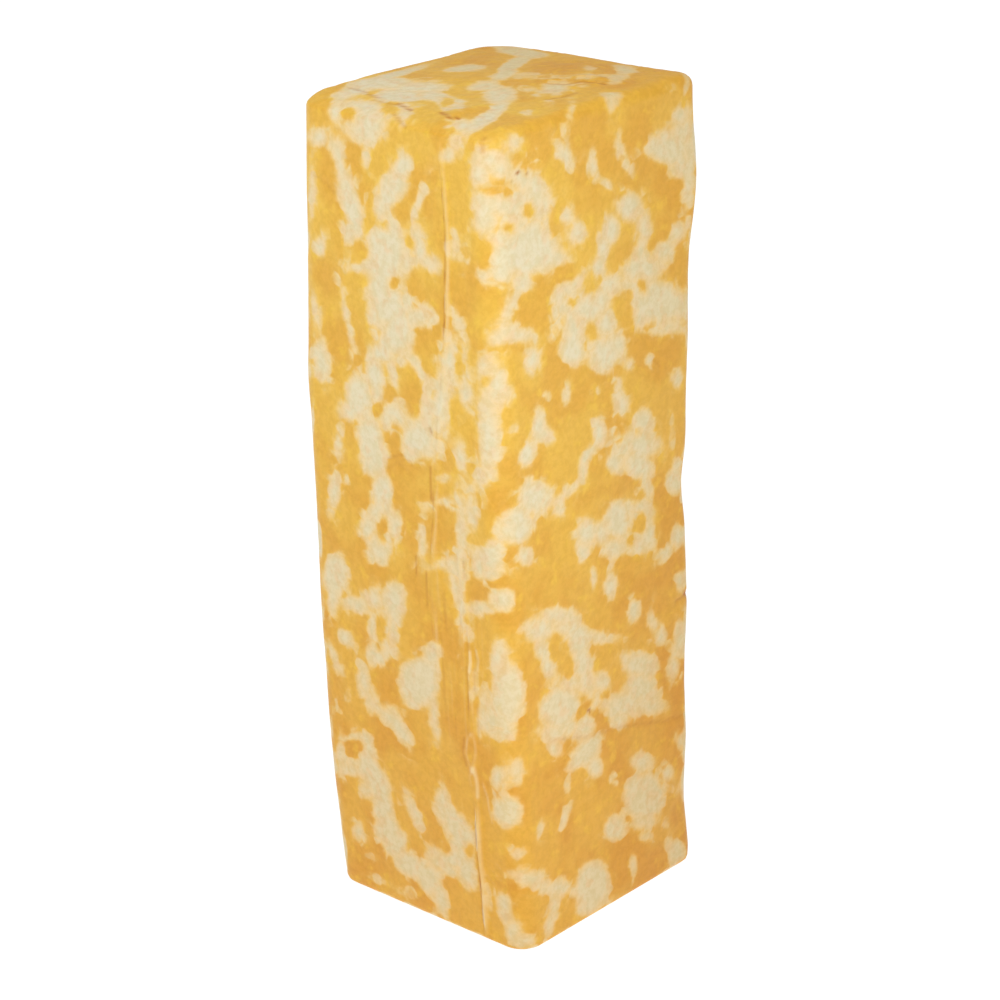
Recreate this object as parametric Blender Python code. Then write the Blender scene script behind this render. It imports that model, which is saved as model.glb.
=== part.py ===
# A loaf of marbled cheese, standing on its end, as one solid.
#
# The loaf was pressed in a soft bag. Its long edges are round, its faces bow and lean a little,
# and two folds of the bag stand as thin ridges down its left face. Metres, +Z up. The origin is
# the middle of the foot. The front face looks along -Y and the folded one along -X.

import bmesh
import bpy
import numpy as np
from mathutils import Vector

MM = 0.001
TOUCH = 0.01 * MM  # points nearer than this are in one place

# The loaf as a square block, before it leans and bows
WIDTH = 89.5 * MM  # the front face, along X
DEPTH = 84.5 * MM  # the folded face, along Y
HEIGHT = 276 * MM

# Radii of the block's edges. The long ones are named by the corner that they stand on.
LONG_EDGE_RADII = {"near": 8 * MM, "left": 7 * MM, "back": 13 * MM, "right": 4.2 * MM}
TOP_RADIUS = 3.8 * MM
FOOT_RADIUS = 2 * MM
ROUNDING_STEPS = 5

# The top slopes off towards the folded face: how far down at the edge, and from how far in
SHOULDER_DROP = 1.4 * MM
SHOULDER_WIDTH = 11 * MM

# Which way each corner lies from the loaf's axis, as signs along X and Y
CORNERS = {"near": (-1, -1), "left": (-1, 1), "back": (1, 1), "right": (1, -1)}

# How far each long edge stands from the square block, in mm along X and Y
FOOT_DRIFT = {"near": (2.0, 0.3), "left": (-0.9, 0.2), "back": (0.0, 0.0), "right": (-2.0, 0.0)}
TOP_DRIFT = {"near": (-1.9, 0.9), "left": (0.4, -0.6), "back": (0.4, 1.0), "right": (4.0, 0.4)}
BOW = {"near": (-0.8, 0.8), "left": (-2.9, 2.8), "back": (-1.6, 1.6), "right": (-1.1, 0.9)}

# Bumps and dents along the long edges: (height, half length, how far out in mm)
EDGE_WAVES = {
    "right": ((240 * MM, 19 * MM, 1.7), (141 * MM, 11 * MM, -1.9), (26 * MM, 16 * MM, -0.9)),
    "left": ((62 * MM, 38 * MM, 0.7), (182 * MM, 12 * MM, 0.6)),
    "near": (),
    "back": ((196 * MM, 25 * MM, -0.8), (88 * MM, 20 * MM, 0.9)),
}

# Slow swells of the faces: (depth, length across, length along, phase)
SWELLS = (
    (0.36 * MM, 97 * MM, 131 * MM, 0.4),
    (0.28 * MM, 61 * MM, 83 * MM, 2.1),
    (0.20 * MM, 41 * MM, 49 * MM, 4.4),
)
# Where each face starts reading the swells, across and along, so that no two faces are alike
SWELL_STARTS = {
    "left": (0.0, 0.0),
    "right": (0.0, 50 * MM),
    "front": (0.0, -40 * MM),
    "back": (30 * MM, 0.0),
    "top": (0.0, 0.0),
}
FACE_BLEND = 6 * MM  # a face's swells fade in over this much of the rounded edge
FOOT_BLEND = 6 * MM  # and over this height above the foot, which stays flat
TOP_CROWN = 0.9 * MM  # how far the middle of the top stands above its rim

# The two bag folds on the left face: points (height, Y) that each line passes near, in mm,
# how high its ridge stands, its half width, and the heights between which it fades out.
UPPER_FOLD = {
    "line": ((268, -24.4), (224, -22.6), (195, -18.9), (154, -14.9), (105, -11.9)),
    "rise": 1.0 * MM,
    "half_width": 1.0 * MM,
    "fades": (97 * MM, 146 * MM),
}
LOWER_FOLD = {
    "line": ((141, -23.4), (115, -25.4), (79, -25.9), (45, -26.0), (2, -26.2)),
    "rise": 1.3 * MM,
    "half_width": 1.1 * MM,
    "fades": (148 * MM, 115 * MM),
}
# Above where the lower fold starts, its line swings over between these heights to run beside the
# upper one, this far away. Nothing stands there: the line only guides the lattice.
FOLD_SWING = (136 * MM, 185 * MM)
FOLD_GAP = 5.5 * MM
# The strip between the folds and the near edge lies this much lower, and ends at this Y
STEP_DOWN = 0.5 * MM
STRIP_END = (-40 * MM, -30 * MM)
FOLD_TOP_FADE = 8 * MM  # the folds fade out over this much below the top

# The small fold where the bag was gathered, on top of the near corner
GATHER = {"place": (-32 * MM, -17 * MM), "reach": (9 * MM, 3 * MM), "rise": 0.9 * MM}

# The lattice that the block is cut into, so that its faces can be shaped
ROWS = 38
FOLD_COLUMNS = (-2.2 * MM, -1.0 * MM, 0.0, 1.0 * MM, 2.2 * MM)
UPPER_FOLD_COLUMN = -18 * MM
LOWER_FOLD_COLUMN = -25.5 * MM
PLAIN_COLUMNS = (-31 * MM, -9 * MM, 0.0, 9 * MM, 17 * MM, 25 * MM)
FRONT_COLUMNS = 9
LATTICE_MARGIN = 3 * MM  # between the lattice and the rounded edges
SLIDE_MARGIN = 9 * MM  # the columns nearer than this to a long edge stay put

CHEESE_COLOUR = (0.84, 0.58, 0.20, 1.0)
CHEESE_ROUGHNESS = 0.5


def smooth_step(value, start, end):
    """0 before start, 1 after end, and an S-curve between them. start may lie above end."""
    share = np.clip((value - start) / (end - start), 0.0, 1.0)
    return share * share * (3 - 2 * share)


def clear_scene():
    for obj in list(bpy.data.objects):
        bpy.data.objects.remove(obj, do_unlink=True)


def edges_where(bm, test):
    """The edges whose two ends both pass the test."""
    return [edge for edge in bm.edges if all(test(vert.co) for vert in edge.verts)]


def round_edges(bm, edges, radius):
    bmesh.ops.bevel(bm, geom=edges, offset=radius, segments=ROUNDING_STEPS, profile=0.5, affect="EDGES")


def rounded_block():
    """The square block with its edges rounded: the four long ones first, then the rims of top and foot."""
    bm = bmesh.new()
    bmesh.ops.create_cube(bm, size=1.0)
    bmesh.ops.scale(bm, vec=(WIDTH, DEPTH, HEIGHT), verts=bm.verts)
    bmesh.ops.translate(bm, vec=(0, 0, HEIGHT / 2), verts=bm.verts)
    for name, (sign_x, sign_y) in CORNERS.items():
        corner = Vector((sign_x * WIDTH / 2, sign_y * DEPTH / 2))
        long_edge = edges_where(bm, lambda co: (co.xy - corner).length < TOUCH)
        round_edges(bm, long_edge, LONG_EDGE_RADII[name])
    round_edges(bm, edges_where(bm, lambda co: co.z > HEIGHT - TOUCH), TOP_RADIUS)
    round_edges(bm, edges_where(bm, lambda co: co.z < TOUCH), FOOT_RADIUS)
    return bm


def cut_at(bm, axis, places):
    """Cuts the whole block by planes square to the axis, at these places along it."""
    for place in places:
        everything = bm.verts[:] + bm.edges[:] + bm.faces[:]
        bmesh.ops.bisect_plane(bm, geom=everything, plane_co=axis * float(place), plane_no=axis)


def cut_lattice(bm):
    lowest = FOOT_RADIUS + LATTICE_MARGIN
    highest = HEIGHT - TOP_RADIUS - LATTICE_MARGIN
    cut_at(bm, Vector((0, 0, 1)), np.linspace(lowest, highest, ROWS))
    right = WIDTH / 2 - max(LONG_EDGE_RADII.values()) - LATTICE_MARGIN
    cut_at(bm, Vector((1, 0, 0)), np.linspace(-right, right, FRONT_COLUMNS))
    columns = [centre + step for centre in (UPPER_FOLD_COLUMN, LOWER_FOLD_COLUMN) for step in FOLD_COLUMNS]
    cut_at(bm, Vector((0, 1, 0)), sorted([*columns, *PLAIN_COLUMNS]))


def join_foot_faces(bm):
    """The foot is flat, so its faces are one."""
    foot = [face for face in bm.faces if all(vert.co.z < TOUCH for vert in face.verts)]
    bmesh.ops.dissolve_faces(bm, faces=foot, use_verts=False)


def fold_line(fold, z):
    """Y of the fold's line at height z: a cubic through its points, held level past its ends."""
    heights, places = np.array(fold["line"]).T * MM
    curve = np.polyfit(heights, places, 3)
    return np.polyval(curve, np.clip(z, heights.min(), heights.max()))


def lower_fold_line(z):
    """The lower fold's own line, and above its start a line beside the upper fold."""
    beside = fold_line(UPPER_FOLD, z) - FOLD_GAP
    share = smooth_step(z, *FOLD_SWING)
    return fold_line(LOWER_FOLD, z) * (1 - share) + beside * share


def slide_columns(y, z, x):
    """Moves the lattice's columns along the left face, so that two groups of them follow the folds."""
    upper, lower = fold_line(UPPER_FOLD, z), lower_fold_line(z)
    reach = max(FOLD_COLUMNS)
    end = DEPTH / 2 - SLIDE_MARGIN
    if abs(y) >= end:
        return y
    before = [-end, LOWER_FOLD_COLUMN - reach, LOWER_FOLD_COLUMN + reach]
    before += [UPPER_FOLD_COLUMN - reach, UPPER_FOLD_COLUMN + reach, end]
    after = [-end, lower - reach, lower + reach, upper - reach, upper + reach, end]
    share = smooth_step(-x, 0.0, 0.4 * WIDTH)
    return y + (np.interp(y, before, after) - y) * share


def ridge(distance, half_width):
    return np.exp(-((distance / half_width) ** 2))


def fold_relief(y, z):
    """How far the left face stands out at (y, z), for its two folds and the strip beside them."""
    upper, lower = fold_line(UPPER_FOLD, z), lower_fold_line(z)
    rise = 0.0
    for fold, line in ((UPPER_FOLD, upper), (LOWER_FOLD, lower)):
        rise += fold["rise"] * smooth_step(z, *fold["fades"]) * ridge(y - line, fold["half_width"])
    strip_start = lower + (upper - lower) * smooth_step(z, *UPPER_FOLD["fades"])
    strip = smooth_step(y, strip_start + MM, strip_start - MM) * smooth_step(y, *STRIP_END)
    return (rise - STEP_DOWN * strip) * smooth_step(z, HEIGHT, HEIGHT - FOLD_TOP_FADE)


def swell(face, across, along):
    """A slow uneven rise and fall of a face, the sum of three waved lattices."""
    across, along = np.add((across, along), SWELL_STARTS[face])
    total = 0.0
    for depth, length_across, length_along, phase in SWELLS:
        wave_across = np.sin(2 * np.pi * across / length_across + phase)
        total += depth * wave_across * np.cos(2 * np.pi * along / length_along + 2 * phase)
    return total


def gather_relief(x, y):
    """The small fold on top of the near corner, long along X."""
    (place_x, place_y), (reach_x, reach_y) = GATHER["place"], GATHER["reach"]
    return GATHER["rise"] * np.exp(-(((x - place_x) / reach_x) ** 2) - ((y - place_y) / reach_y) ** 2)


def drift(point):
    """How far the block's leaning and bowed edges carry a point sideways, as (x, y).

    Each long edge has its own drift at the foot and the top and its own bow between them, and a point takes a
    share of each by how near it lies. An edge's own bumps and dents fade faster.
    """
    up = min(max(point.z / HEIGHT, 0.0), 1.0)
    moved = np.zeros(2)
    for name, (sign_x, sign_y) in CORNERS.items():
        share = (0.5 + sign_x * point.x / WIDTH) * (0.5 + sign_y * point.y / DEPTH)
        lean = np.array(FOOT_DRIFT[name]) * (1 - up) + np.array(TOP_DRIFT[name]) * up
        moved += share * (lean + np.array(BOW[name]) * 4 * up * (1 - up))
        outward = np.array((sign_x, sign_y)) / np.sqrt(2)
        for height, half_length, rise in EDGE_WAVES[name]:
            moved += share**2 * rise * outward * ridge(point.z - height, half_length)
    return moved * MM


def on_face(distance_out, half):
    """1 on the face that lies half a width or depth from the axis, and 0 well inside it."""
    return smooth_step(distance_out, half - FACE_BLEND, half - MM)


def shape(point):
    """Where a point of the square block's surface lies on the loaf."""
    x, y, z = point
    y = slide_columns(y, z, x)
    left_out = on_face(-x, WIDTH / 2) * (swell("left", y, z) + fold_relief(y, z))
    right_out = on_face(x, WIDTH / 2) * swell("right", y, z)
    front_out = on_face(-y, DEPTH / 2) * swell("front", x, z)
    back_out = on_face(y, DEPTH / 2) * swell("back", x, z)
    side = smooth_step(z, 0.0, FOOT_BLEND)
    crown = TOP_CROWN * (1 - (2 * x / WIDTH) ** 2) * (1 - (2 * y / DEPTH) ** 2)
    shoulder = SHOULDER_DROP * smooth_step(x, SHOULDER_WIDTH - WIDTH / 2, -WIDTH / 2)
    up_out = crown - shoulder + swell("top", x, y) + gather_relief(x, y)
    moved_x, moved_y = drift(Vector((x, y, z)))
    return Vector((
        x + moved_x + side * (right_out - left_out),
        y + moved_y + side * (back_out - front_out),
        z + up_out * smooth_step(z, HEIGHT - TOP_RADIUS, HEIGHT),
    ))


def centre_on_foot(bm):
    """Sets the origin at the middle of the loaf's box, at the foot."""
    places = np.array([vert.co for vert in bm.verts])
    low, high = places.min(axis=0), places.max(axis=0)
    middle = (low + high) / 2
    bmesh.ops.translate(bm, vec=(-middle[0], -middle[1], -low[2]), verts=bm.verts)


def cheese_material():
    material = bpy.data.materials.new("Marbled cheese")
    material.use_nodes = True
    shader = material.node_tree.nodes["Principled BSDF"]
    shader.inputs["Base Color"].default_value = CHEESE_COLOUR
    shader.inputs["Roughness"].default_value = CHEESE_ROUGHNESS
    shader.inputs["Metallic"].default_value = 0.0
    material.diffuse_color = CHEESE_COLOUR
    return material


def make_loaf():
    bm = rounded_block()
    cut_lattice(bm)
    join_foot_faces(bm)
    for vert in bm.verts:
        vert.co = shape(vert.co)
    centre_on_foot(bm)
    bmesh.ops.recalc_face_normals(bm, faces=bm.faces)
    mesh = bpy.data.meshes.new("cheese_loaf")
    bm.to_mesh(mesh)
    bm.free()
    mesh.shade_smooth()
    mesh.materials.append(cheese_material())
    loaf = bpy.data.objects.new("cheese_loaf", mesh)
    bpy.context.scene.collection.objects.link(loaf)
    return loaf


clear_scene()
make_loaf()
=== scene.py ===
# A loaf of marbled cheese, standing on its end, dressed round the frame of its solid.
# Lengths here are millimetres until they go into a mesh, a light or the camera, which take metres.

import bpy
import numpy as np
from mathutils import Matrix, Vector


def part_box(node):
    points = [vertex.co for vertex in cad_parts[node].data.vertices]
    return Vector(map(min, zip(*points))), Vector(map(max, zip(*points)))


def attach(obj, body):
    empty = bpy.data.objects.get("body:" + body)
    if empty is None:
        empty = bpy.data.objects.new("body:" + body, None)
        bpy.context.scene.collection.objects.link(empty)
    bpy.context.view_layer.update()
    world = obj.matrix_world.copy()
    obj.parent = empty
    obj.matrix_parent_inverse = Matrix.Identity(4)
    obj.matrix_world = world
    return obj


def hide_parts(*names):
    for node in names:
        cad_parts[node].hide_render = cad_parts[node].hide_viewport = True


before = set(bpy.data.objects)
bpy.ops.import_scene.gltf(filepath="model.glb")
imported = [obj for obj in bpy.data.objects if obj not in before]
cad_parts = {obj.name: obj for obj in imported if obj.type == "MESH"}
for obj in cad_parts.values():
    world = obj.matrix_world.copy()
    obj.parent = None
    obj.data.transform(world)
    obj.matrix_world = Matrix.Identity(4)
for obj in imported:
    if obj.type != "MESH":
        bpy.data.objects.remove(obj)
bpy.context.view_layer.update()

mm = 0.001
loafNode = "cheese_loaf"

# Where the photograph was taken from: place and target in mm, lens and sensor in mm, roll in degrees
photoView = dict(
    place=(-619.1, -590.95, 482.17),
    target=(-2.24, 0.51, 136.9),
    lens=101.2,
    sensor=36.0,
    roll=-1.92,
    imageSize=1000,
)

# The loaf's form, as its solid has it
loaf = dict(
    width=89.5,
    depth=84.5,
    height=276.0,
    longEdgeRadii=dict(near=8.0, right=4.2, back=13.0, left=7.0),
    topRadius=3.8,
    footRadius=2.0,
    shoulderDrop=1.4,  # the top slopes off towards the folded face
    shoulderWidth=11.0,
    corners=dict(near=(-1, -1), right=(1, -1), back=(1, 1), left=(-1, 1)),
    footDrift=dict(near=(2.0, 0.3), left=(-0.9, 0.2), back=(0.0, 0.0), right=(-2.0, 0.0)),
    topDrift=dict(near=(-1.9, 0.9), left=(0.4, -0.6), back=(0.4, 1.0), right=(4.0, 0.4)),
    bow=dict(near=(-0.8, 0.8), left=(-2.9, 2.8), back=(-1.6, 1.6), right=(-1.1, 0.9)),
    # Bumps and dents along the long edges: height, half length, how far out
    edgeWaves=dict(
        right=((240, 19, 1.7), (141, 11, -1.9), (26, 16, -0.9)),
        left=((62, 38, 0.7), (182, 12, 0.6)),
        near=(),
        back=((196, 25, -0.8), (88, 20, 0.9)),
    ),
    # Slow swells of the faces: depth, length across, length along, phase
    swells=((0.36, 97, 131, 0.4), (0.28, 61, 83, 2.1), (0.20, 41, 49, 4.4)),
    swellStarts=dict(left=(0, 0), right=(0, 50), front=(0, -40), back=(30, 0), top=(0, 0)),
    faceBlend=(6.0, 1.0),  # what moves a face takes hold from and to this deep under it
    footBlend=6.0,
    topCrown=0.9,
)

# The two folds of the bag down the left face, and the small one gathered on the top's near corner
bagFolds = dict(
    upper=dict(
        line=((268, -21.8), (248, -22.9), (222, -23.7), (195, -20.6), (154, -14.9), (105, -11.9)),
        # how strongly it shows, by height
        strength=(
            (97, 0.0), (103, 0.35), (120, 0.35), (126, 0.2), (134, 0.3), (138, 0.6), (157, 0.6),
            (162, 0.25), (205, 0.25), (212, 0.8), (246, 0.8), (262, 0.5), (276, 0.3),
        ),
        rise=0.65,
        halfWidth=0.75,
        fades=(97, 146),
        grooveAt=1.2,
        grooveDepth=0.12,
        # painted shade in the groove
        groovePaintedShade=0.58,
    ),
    lower=dict(
        line=((141, -23.4), (115, -25.4), (79, -25.9), (45, -26.0), (2, -26.2)),
        strength=(
            (0, 0.5), (7, 0.9), (14, 1.0), (43, 1.0), (48, 0.6), (53, 0.15), (64, 0.05), (80, 0.08),
            (86, 0.3), (97, 0.4), (128, 0.45), (134, 0.2), (148, 0.0),
        ),
        rise=1.0,
        halfWidth=0.9,
        grooveAt=1.5,
        grooveDepth=0.16,
        groovePaintedShade=0.56,
    ),
    swing=(136, 185),  # where the lower fold's line comes over from beside the upper one
    gap=5.5,
    stepDown=0.5,
    stripEnd=(-40, -30),
    topFade=8.0,
    # how the folds waver, swell and pinch along their length: how much, cell in mm, seed
    wander=(0.35, 13, 11),
    stretch=(0.35, 19, 12),
    pinch=(0.9, 6, 13),
    pinchLimits=(0.1, 1.6),
    grooveHalfWidth=0.6,
    # painted highlight on the crests
    crestPaintedHighlight=0.62,
    # fine upright creases of the film beside the folds, in a band across the face, with painted shade and
    # painted highlight along them
    streaks=dict(
        cell=(40, 1.5, 26), seed=14, height=0.09, paintedShade=0.42,
        band=(-38, -8), bandFade=5, strongest=(74, 138), strongestFade=8, elsewhere=0.3,
    ),
    gather=dict(place=(-32, -17), reach=(9, 3), rise=0.9),
)

# How finely the surface is laid out
loafGrid = dict(
    columns=326,
    sideRows=244,
    topRimRows=7,
    footRimRows=3,
    topRings=34,
    footRings=7,
    seenWeight=1.45,  # columns lie closer on the two faces that the photograph shows
    foldWeight=2.3,  # and closest where the folds run
    foldBand=(-31.0, -8.0),
    arcPoints=25,
    finePoints=4000,
    faceReach=1.0,
)


def smoothStep(value, start, end):
    # 0 before start, 1 after end, an S-curve between them; start may lie above end
    share = np.clip((value - start) / (end - start), 0.0, 1.0)
    return share * share * (3 - 2 * share)


def ridge(distance, halfWidth):
    # a bell across a line: 1 on it, and a third of that one half width away
    return np.exp(-((distance / halfWidth) ** 2))


def unevenness(points, cell, seed):
    # Smooth random rise and fall, about -1 to 1: each corner of a lattice of this cell has a random
    # direction, and a point blends the slopes that its eight corners give it
    size = 32
    rng = np.random.default_rng(seed)
    slopes = rng.normal(size=(size, size, size, 3))
    slopes /= np.linalg.norm(slopes, axis=-1, keepdims=True)
    scaled = points / np.array(cell) + 100.0
    base = np.floor(scaled).astype(int)
    inside = scaled - base
    ease = inside**3 * (inside * (inside * 6 - 15) + 10)
    total = np.zeros(len(points))
    for corner in np.ndindex(2, 2, 2):
        corner = np.array(corner)
        i, j, k = ((base + corner) % size).T
        slope = (slopes[i, j, k] * (inside - corner)).sum(axis=1)
        total += slope * np.prod(np.where(corner, ease, 1 - ease), axis=1)
    return total * 1.6  # the blend alone keeps within about 0.6


def putInScene(name, data):
    item = bpy.data.objects.new(name, data)
    bpy.context.scene.collection.objects.link(item)
    return item


# The camera, and the way between its picture and the loaf


def cameraAxes(view):
    # right, up and forward of the camera: level first, then turned about its own line of sight
    forward = Vector(view["target"]) - Vector(view["place"])
    forward.normalize()
    level = forward.cross(Vector((0, 0, 1))).normalized()
    upright = level.cross(forward)
    roll = np.radians(view["roll"])
    right = level * np.cos(roll) + upright * np.sin(roll)
    up = upright * np.cos(roll) - level * np.sin(roll)
    return np.array(right), np.array(up), np.array(forward)


def makeCamera(view):
    right, up, forward = cameraAxes(view)
    data = bpy.data.cameras.new("photoCamera")
    data.lens = view["lens"]
    data.sensor_width = view["sensor"]
    data.clip_end = 60.0
    camera = putInScene("photoCamera", data)
    turn = Matrix((right, up, -forward)).transposed().to_4x4()
    camera.matrix_world = Matrix.Translation(Vector(view["place"]) * mm) @ turn
    bpy.context.scene.camera = camera


def pictureScale(view):
    # the focal length and the picture's middle, in pixels
    return view["lens"] / view["sensor"] * view["imageSize"], view["imageSize"] / 2


def pixelsOf(points, view):
    # a point's place in the picture: its share right and down of the line of sight, times the focal length
    right, up, forward = cameraAxes(view)
    focal, middle = pictureScale(view)
    away = points - np.array(view["place"])
    ahead = away @ forward
    return np.stack([middle + focal * (away @ right) / ahead, middle - focal * (away @ up) / ahead], axis=1)


def rayThrough(pixel, view):
    # the other way round: the direction of the line of sight through a pixel
    right, up, forward = cameraAxes(view)
    focal, middle = pictureScale(view)
    return forward + right * (pixel[0] - middle) / focal - up * (pixel[1] - middle) / focal


class SeenSurface:
    # The side of the loaf that the camera sees, to find where a pixel of the photograph falls on it
    edgeOn = 0.08  # points that face the camera less than this are left out

    def __init__(self, points, normals, view):
        toCamera = np.array(view["place"]) - points
        toCamera /= np.linalg.norm(toCamera, axis=1, keepdims=True)
        self.facing = (normals * toCamera).sum(axis=1)
        seen = self.facing > self.edgeOn
        self.points, self.normals, self.view = points[seen], normals[seen], view
        self.pixels = pixelsOf(self.points, view)

    def nearest(self, pixel):
        return int(((self.pixels - np.array(pixel)) ** 2).sum(axis=1).argmin())

    def onPlane(self, pixel, spot):
        # where the pixel's line of sight meets the plane that touches the loaf at this spot
        ray = rayThrough(pixel, self.view)
        start = np.array(self.view["place"])
        normal = self.normals[spot]
        return start + ray * ((self.points[spot] - start) @ normal) / (ray @ normal)

    def place(self, pixel):
        return self.onPlane(pixel, self.nearest(pixel))


# The loaf's surface


def blockOutline(form, grid):
    # The rounded square seen from above: four arcs joined by straight runs, then spaced by weight,
    # so that the columns lie closer where more detail is
    halfWidth, halfDepth = form["width"] / 2, form["depth"] / 2
    corners = []
    for order, (name, (signX, signY)) in enumerate(form["corners"].items()):
        radius = form["longEdgeRadii"][name]
        angle = np.radians(np.linspace(180, 270, grid["arcPoints"]) + 90 * order)
        middle = np.array((signX * (halfWidth - radius), signY * (halfDepth - radius)))
        corners.append(middle + radius * np.stack([np.cos(angle), np.sin(angle)], axis=1))
    outline = np.concatenate([*corners, corners[0][:1]])
    lengths = np.concatenate([[0], np.cumsum(np.linalg.norm(np.diff(outline, axis=0), axis=1))])
    along = np.linspace(0, lengths[-1], grid["finePoints"])
    x, y = (np.interp(along, lengths, outline[:, axis]) for axis in (0, 1))
    onLeft, onFront = x < grid["faceReach"] - halfWidth, y < grid["faceReach"] - halfDepth
    seen = onLeft | onFront | ((x < 0) & (y < 0))
    inBand = onLeft & (y > grid["foldBand"][0]) & (y < grid["foldBand"][1])
    weight = np.where(seen, grid["seenWeight"], 1.0)
    weight = np.where(inBand, grid["foldWeight"], weight)
    count = np.cumsum(weight) - weight[0]
    wanted = np.linspace(0, count[-1], grid["columns"], endpoint=False)
    return np.interp(wanted, count, x), np.interp(wanted, count, y)


def blockProfile(form, grid):
    # Rows from the middle of the foot to the middle of the top: how far in from the square block each
    # one lies, the share of the way out from the axis, and the height
    topRadius, footRadius, height = form["topRadius"], form["footRadius"], form["height"]
    footShare = np.linspace(0, 1, grid["footRings"] + 1)[1:]
    footTurn = np.linspace(0, np.pi / 2, grid["footRimRows"] + 1)[1:]
    side = np.linspace(footRadius, height - topRadius, grid["sideRows"])[1:-1]
    topTurn = np.linspace(0, np.pi / 2, grid["topRimRows"] + 1)
    topShare = np.linspace(1, 0, grid["topRings"] + 1)[1:-1]
    inset = np.concatenate([
        np.full(len(footShare), footRadius),
        footRadius * (1 - np.sin(footTurn)),
        np.zeros(len(side)),
        topRadius * (1 - np.cos(topTurn)),
        np.full(len(topShare), topRadius),
    ])
    share = np.concatenate([footShare, np.ones(len(footTurn) + len(side) + len(topTurn)), topShare])
    rise = np.concatenate([
        np.zeros(len(footShare)),
        footRadius * (1 - np.cos(footTurn)),
        side,
        height - topRadius + topRadius * np.sin(topTurn),
        np.full(len(topShare), height),
    ])
    return inset, share, rise


def blockSurface(form, grid):
    # Every row is the outline drawn in by its inset and share, and the two middles close the ends
    x, y = blockOutline(form, grid)
    inset, share, rise = blockProfile(form, grid)
    acrossX = share * (1 - inset / (form["width"] / 2))
    acrossY = share * (1 - inset / (form["depth"] / 2))
    rows = np.stack([
        x[None, :] * acrossX[:, None],
        y[None, :] * acrossY[:, None],
        np.repeat(rise[:, None], len(x), axis=1),
    ], axis=-1)
    ends = np.array([(0, 0, 0), (0, 0, form["height"])], dtype=float)
    return np.concatenate([rows.reshape(-1, 3), ends]), len(rows), len(x)


def blockFaces(rowCount, columnCount):
    # each row is joined to the next by four-sided faces, closed round, and each end by a fan to its middle
    row, column = np.meshgrid(np.arange(rowCount - 1), np.arange(columnCount), indexing="ij")
    after = (column + 1) % columnCount
    quads = np.stack([
        row * columnCount + column,
        row * columnCount + after,
        (row + 1) * columnCount + after,
        (row + 1) * columnCount + column,
    ], axis=-1).reshape(-1, 4)
    first = np.arange(columnCount)
    second = (first + 1) % columnCount
    last = (rowCount - 1) * columnCount
    footMiddle, topMiddle = rowCount * columnCount, rowCount * columnCount + 1
    foot = np.stack([second, first, np.full(columnCount, footMiddle)], axis=1)
    top = np.stack([first + last, second + last, np.full(columnCount, topMiddle)], axis=1)
    return [*quads.tolist(), *foot.tolist(), *top.tolist()]


def foldLine(fold, z):
    # a fold's place across the left face: a cubic through its points, held level past its ends
    heights, places = np.array(fold["line"], dtype=float).T
    return np.polyval(np.polyfit(heights, places, 3), np.clip(z, heights.min(), heights.max()))


def foldLines(folds, z):
    upper = foldLine(folds["upper"], z)
    share = smoothStep(z, *folds["swing"])
    lower = foldLine(folds["lower"], z) * (1 - share) + (upper - folds["gap"]) * share
    return upper, lower


def foldRelief(folds, form, points):
    # How far the left face stands out for its folds: a ridge along each line with a groove on the far side
    # of it, both rising and sinking along their length, fine upright streaks beside them, and the strip
    # between them a step down. Then painted shade above 0 in a groove, painted highlight below 0 on a ridge.
    x, y, z = points.T
    upper, lower = foldLines(folds, z)
    wander, stretch, pinch = (
        share * unevenness(points * (0, 0, 1), cell, seed)
        for share, cell, seed in (folds["wander"], folds["stretch"], folds["pinch"])
    )
    rise, paintedShade = np.zeros(len(points)), np.zeros(len(points))
    for fold, line in ((folds["upper"], upper), (folds["lower"], lower)):
        shows = np.interp(z, *np.array(fold["strength"], dtype=float).T)
        away = y - line - wander
        groove = ridge(away - fold["grooveAt"], folds["grooveHalfWidth"])
        groove = groove * np.clip(1 + pinch, *folds["pinchLimits"])
        crest = ridge(away, fold["halfWidth"]) * (1 + stretch)
        rise += shows * (fold["rise"] * crest - fold["grooveDepth"] * groove)
        paintedShade += shows * (fold["groovePaintedShade"] * groove - folds["crestPaintedHighlight"] * crest)
    streaks = folds["streaks"]
    (bandStart, bandEnd), (lowest, highest) = streaks["band"], streaks["strongest"]
    inward, apart = streaks["bandFade"], streaks["strongestFade"]
    share = smoothStep(y, bandStart, bandStart + inward) * smoothStep(y, bandEnd, bandEnd - inward)
    strongest = smoothStep(z, lowest - apart, lowest + apart)
    strongest *= smoothStep(z, highest + apart, highest - apart)
    share *= streaks["elsewhere"] + (1 - streaks["elsewhere"]) * strongest
    streaked = unevenness(points, streaks["cell"], streaks["seed"]) * share
    rise += streaks["height"] * streaked
    paintedShade -= streaks["paintedShade"] * streaked
    stripStart = lower + (upper - lower) * smoothStep(z, *folds["upper"]["fades"])
    strip = smoothStep(y, stripStart + 1, stripStart - 1) * smoothStep(y, *folds["stripEnd"])
    fade = smoothStep(z, form["height"], form["height"] - folds["topFade"])
    return (rise - folds["stepDown"] * strip) * fade, paintedShade * fade


def swell(form, face, across, along):
    # a slow uneven rise and fall of a face, the sum of three waved lattices
    startAcross, startAlong = form["swellStarts"][face]
    total = 0.0
    for depth, lengthAcross, lengthAlong, phase in form["swells"]:
        wave = np.sin(2 * np.pi * (across + startAcross) / lengthAcross + phase)
        total = total + depth * wave * np.cos(2 * np.pi * (along + startAlong) / lengthAlong + 2 * phase)
    return total


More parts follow.
